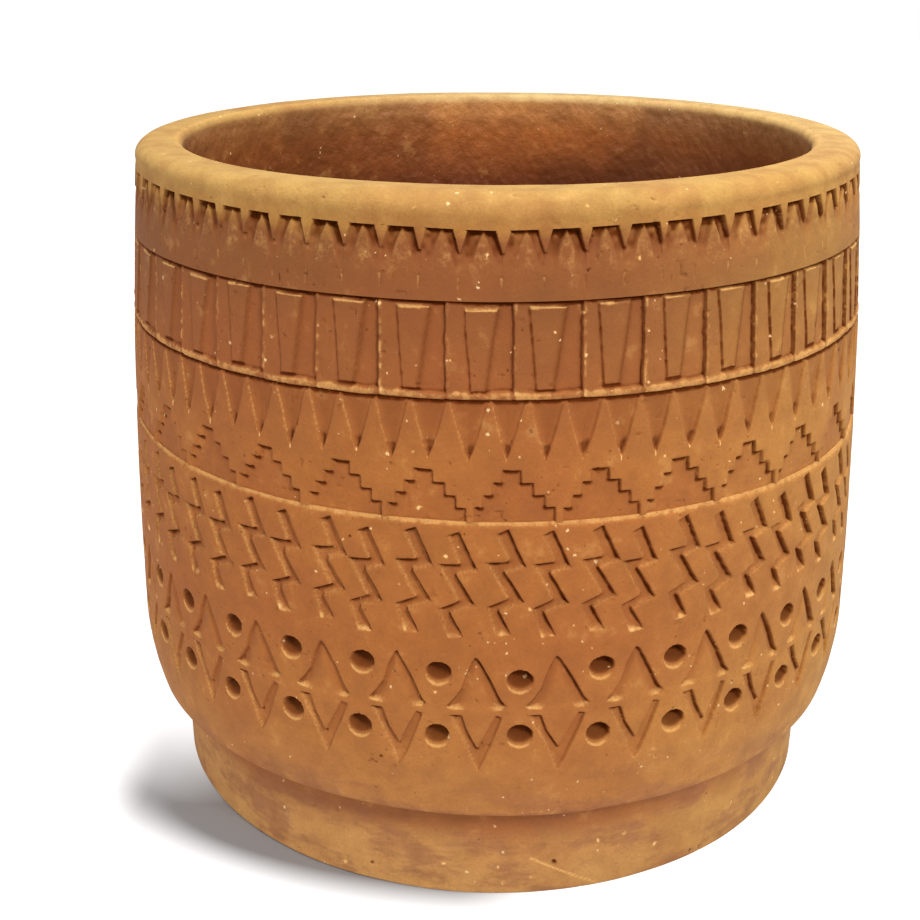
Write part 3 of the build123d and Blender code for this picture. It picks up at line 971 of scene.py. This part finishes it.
# painted shade at the cuts, and the dark marks
painted_shade_and_mark_brown = from_screen(88, 34, 4)
stain_brown = from_screen(142, 86, 60)
# painted highlights at the cuts, the pale marks and pale patches
highlight_and_patch_ochre = from_screen(228, 172, 98)
# pale grain and specks, and the strongest painted highlights
pale_grain_and_highlight = from_screen(242, 204, 148)
# painted light on the right side of the pot
painted_light_ochre = from_screen(202, 154, 74)
# painted light on the rim's top
rim_highlight_pale = from_screen(194, 170, 116)
face_bands_with_painted_shade = (
    # share of the pot's height, colour
    (0.00, from_screen(202, 148, 84)),
    (0.085, from_screen(192, 136, 74)),
    # painted shadow on the foot under the shoulder's overhang
    (0.115, from_screen(160, 98, 50)),
    (0.150, from_screen(162, 98, 48)),
    (0.172, from_screen(183, 122, 60)),
    (0.27, from_screen(175, 111, 49)),
    (0.42, from_screen(166, 97, 39)),
    (0.66, from_screen(169, 101, 40)),
    (0.77, from_screen(150, 86, 35)),
    (0.88, from_screen(130, 76, 30)),
    (0.94, from_screen(130, 76, 30)),
    (0.957, from_screen(172, 121, 54)),
    (1.00, from_screen(179, 141, 74)),
)
# inside colours by height, with painted shade
inside_bands_with_painted_shade = (
    (0.16, from_screen(112, 60, 30)),
    (0.50, from_screen(50, 21, 8)),
    (0.72, from_screen(84, 38, 14)),
    (0.84, from_screen(116, 54, 21)),
    (0.93, from_screen(184, 104, 46)),
    (0.985, from_screen(206, 140, 76)),
)
pot_clay = fired_clay()

# ---------------------------------------------------------------- the pot

courses = (
    # name, node, bottom, top, spacing of the mesh, pattern
    ("flame_course", "flame_course", flame_seam, rim_seam, 0.42, flame_pattern),
    ("rib_course", "rib_course", rib_seam, flame_seam, 0.44, rib_pattern),
    ("step_course", "step_course", step_seam, rib_seam, 0.50, step_pattern),
    ("bolt_course", "bolt_course", bolt_seam, step_seam, 0.51, bolt_pattern),
    ("bowl_band", "bowl_course", band_bottom, bolt_seam, 0.54, lozenge_pattern),
)
halves = (
    # side, first turn, last turn, how much coarser its mesh is
    ("front", -math.pi / 2, math.pi / 2, 1.0),
    ("back", math.pi / 2, math.pi * 3 / 2, 1.25),
)
quick_look = 1.0

for name, node, low, high, spacing, pattern in courses:
    for side, turn_from, turn_to, coarser in halves:
        cell = spacing * coarser * quick_look
        columns = round(math.pi * float(outside_radius(high)) / cell)
        if name == "bowl_band":
            outline = bowl_band_outline(cell)
        else:
            # the inside of the upper back is in view, so its mesh is finer
            outline = course_outline(low, high, cell, 1.0 if side == "back" and low >= rib_seam else 3.2)
        mesh = wrapped_slab(f"{name}_{side}", outline, columns, turn_from, turn_to, pattern, cell)
        finish_piece(f"{name}_{side}", mesh, node, pot_clay)

whole_rings = (
    # name, node, section, columns
    ("rolled_rim", "rim_roll", rim_outline(), 1000),
    ("bowl_base", "bowl_course", bowl_base_outline(), 1000),
    ("foot", "foot_ring", foot_outline(), 1000),
    ("pot_floor", "floor_disc", floor_outline(), 300),
)
for name, node, outline, columns in whole_rings:
    mesh = wrapped_slab(name, outline, round(columns / quick_look), -math.pi, math.pi)
    finish_piece(name, mesh, node, pot_clay)

# ---------------------------------------------------------------- studio

def studio_floor():
    """A white floor that keeps the pot's shadow, darkened by a painted shadow on a patch in front of the
    pot and to its left, and glows white further out, where the camera sees it.
    """
    shape = bmesh.new()
    bmesh.ops.create_grid(shape, x_segments=1, y_segments=1, size=4.0)
    mesh = bpy.data.meshes.new("studio_floor")
    shape.to_mesh(mesh)
    shape.free()
    recipe = Recipe("studio_white")
    tree = recipe.tree
    tree.nodes.remove(recipe.surface)
    rays = recipe.node("LightPath")
    seen = recipe.maths("MAXIMUM", rays.outputs["Is Camera Ray"], rays.outputs["Is Glossy Ray"])
    seen = recipe.maths("MAXIMUM", seen, rays.outputs["Is Transmission Ray"])
    # how deep the painted shadow is, on a patch in front of the pot and to its left
    from_arc = recipe.node("VectorMath", {"operation": "DISTANCE"}, Vector=recipe.place)
    from_arc.inputs[1].default_value = (0, 100 * MM, 0)
    spot = recipe.node("SeparateXYZ", Vector=recipe.place)
    shade = recipe.grow(from_arc.outputs["Value"], 252 * MM, 222 * MM)
    shade = recipe.maths("MULTIPLY", shade, recipe.grow(spot.outputs["X"], -168 * MM, -140 * MM))
    shade = recipe.maths("MULTIPLY", shade, recipe.grow(spot.outputs["X"], 25 * MM, -15 * MM))
    shade = recipe.maths("MULTIPLY", shade, recipe.grow(spot.outputs["Y"], 0.0, -118 * MM))
    from_axis = recipe.node("VectorMath", {"operation": "LENGTH"}, Vector=recipe.place)
    under_pot = recipe.grow(from_axis.outputs["Value"], 125 * MM, 115 * MM)
    dimmed = recipe.maths("MAXIMUM", recipe.maths("MULTIPLY", shade, 1.28), under_pot)
    glow = recipe.maths("SUBTRACT", 1.0, recipe.maths("MINIMUM", dimmed, 1.0))
    # the camera sees a darker floor than the lamps light, so the painted shadow shows where the glow is
    # dimmed
    colour = recipe.mix(seen, (0.66, 0.655, 0.65, 1), (0.3, 0.297, 0.3, 1))
    plain = recipe.node("BsdfDiffuse", Color=colour)
    shine = recipe.node("Emission", Color=(1, 1, 1, 1), Strength=recipe.maths("MULTIPLY", seen, glow))
    both = recipe.node("AddShader")
    tree.links.new(plain.outputs[0], both.inputs[0])
    tree.links.new(shine.outputs[0], both.inputs[1])
    tree.links.new(both.outputs[0], tree.nodes["Material Output"].inputs["Surface"])
    mesh.materials.append(recipe.material)
    floor = bpy.data.objects.new("studio_floor", mesh)
    bpy.context.scene.collection.objects.link(floor)
    floor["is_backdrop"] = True


def studio_air():
    """Even light from all round, and white where the camera looks past the floor."""
    world = bpy.data.worlds.new("studio_air")
    bpy.context.scene.world = world
    world.use_nodes = True
    tree = world.node_tree
    sky = tree.nodes["Background"]
    sky.inputs["Color"].default_value = (1, 1, 1, 1)
    rays = tree.nodes.new("ShaderNodeLightPath")
    strength = tree.nodes.new("ShaderNodeMapRange")
    strength.inputs["To Min"].default_value = 0.56
    strength.inputs["To Max"].default_value = 1.0
    tree.links.new(rays.outputs["Is Camera Ray"], strength.inputs["Value"])
    tree.links.new(strength.outputs["Result"], sky.inputs["Strength"])


def soft_lamp(name, place, aim, size, power):
    """A round lamp, turned to what it lights."""
    data = bpy.data.lights.new(name, "AREA")
    data.shape = "DISK"
    data.size = size
    data.energy = power
    lamp = bpy.data.objects.new(name, data)
    bpy.context.scene.collection.objects.link(lamp)
    lamp.location = place
    lamp.rotation_euler = (aim - place).to_track_quat("-Z", "Y").to_euler()


def studio_camera():
    """Stands in front of the pot, a little above it, and looks down."""
    data = bpy.data.cameras.new("camera")
    data.lens = 53.3
    data.sensor_width = 36.0
    data.clip_start = 0.01
    camera = bpy.data.objects.new("camera", data)
    bpy.context.scene.collection.objects.link(camera)
    camera.location = (0, -547.7 * MM, 333.6 * MM)
    look_down, look_left = math.radians(21.29), math.radians(1.47)
    camera.rotation_euler = (math.pi / 2 - look_down, 0, look_left)
    bpy.context.scene.camera = camera


studio_floor()
studio_air()
middle = Vector((0, 0, 0.13))
soft_lamp("front_lamp", Vector((0.50, -0.95, 0.90)), middle, 0.3, 8.5)
soft_lamp("top_lamp", Vector((0.2, -0.1, 1.25)), middle, 0.45, 10)
soft_lamp("left_lamp", Vector((-1.2, -0.5, 0.75)), middle, 1.0, 5.5)
studio_camera()
bpy.context.scene.view_settings.view_transform = "Standard"

low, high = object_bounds()
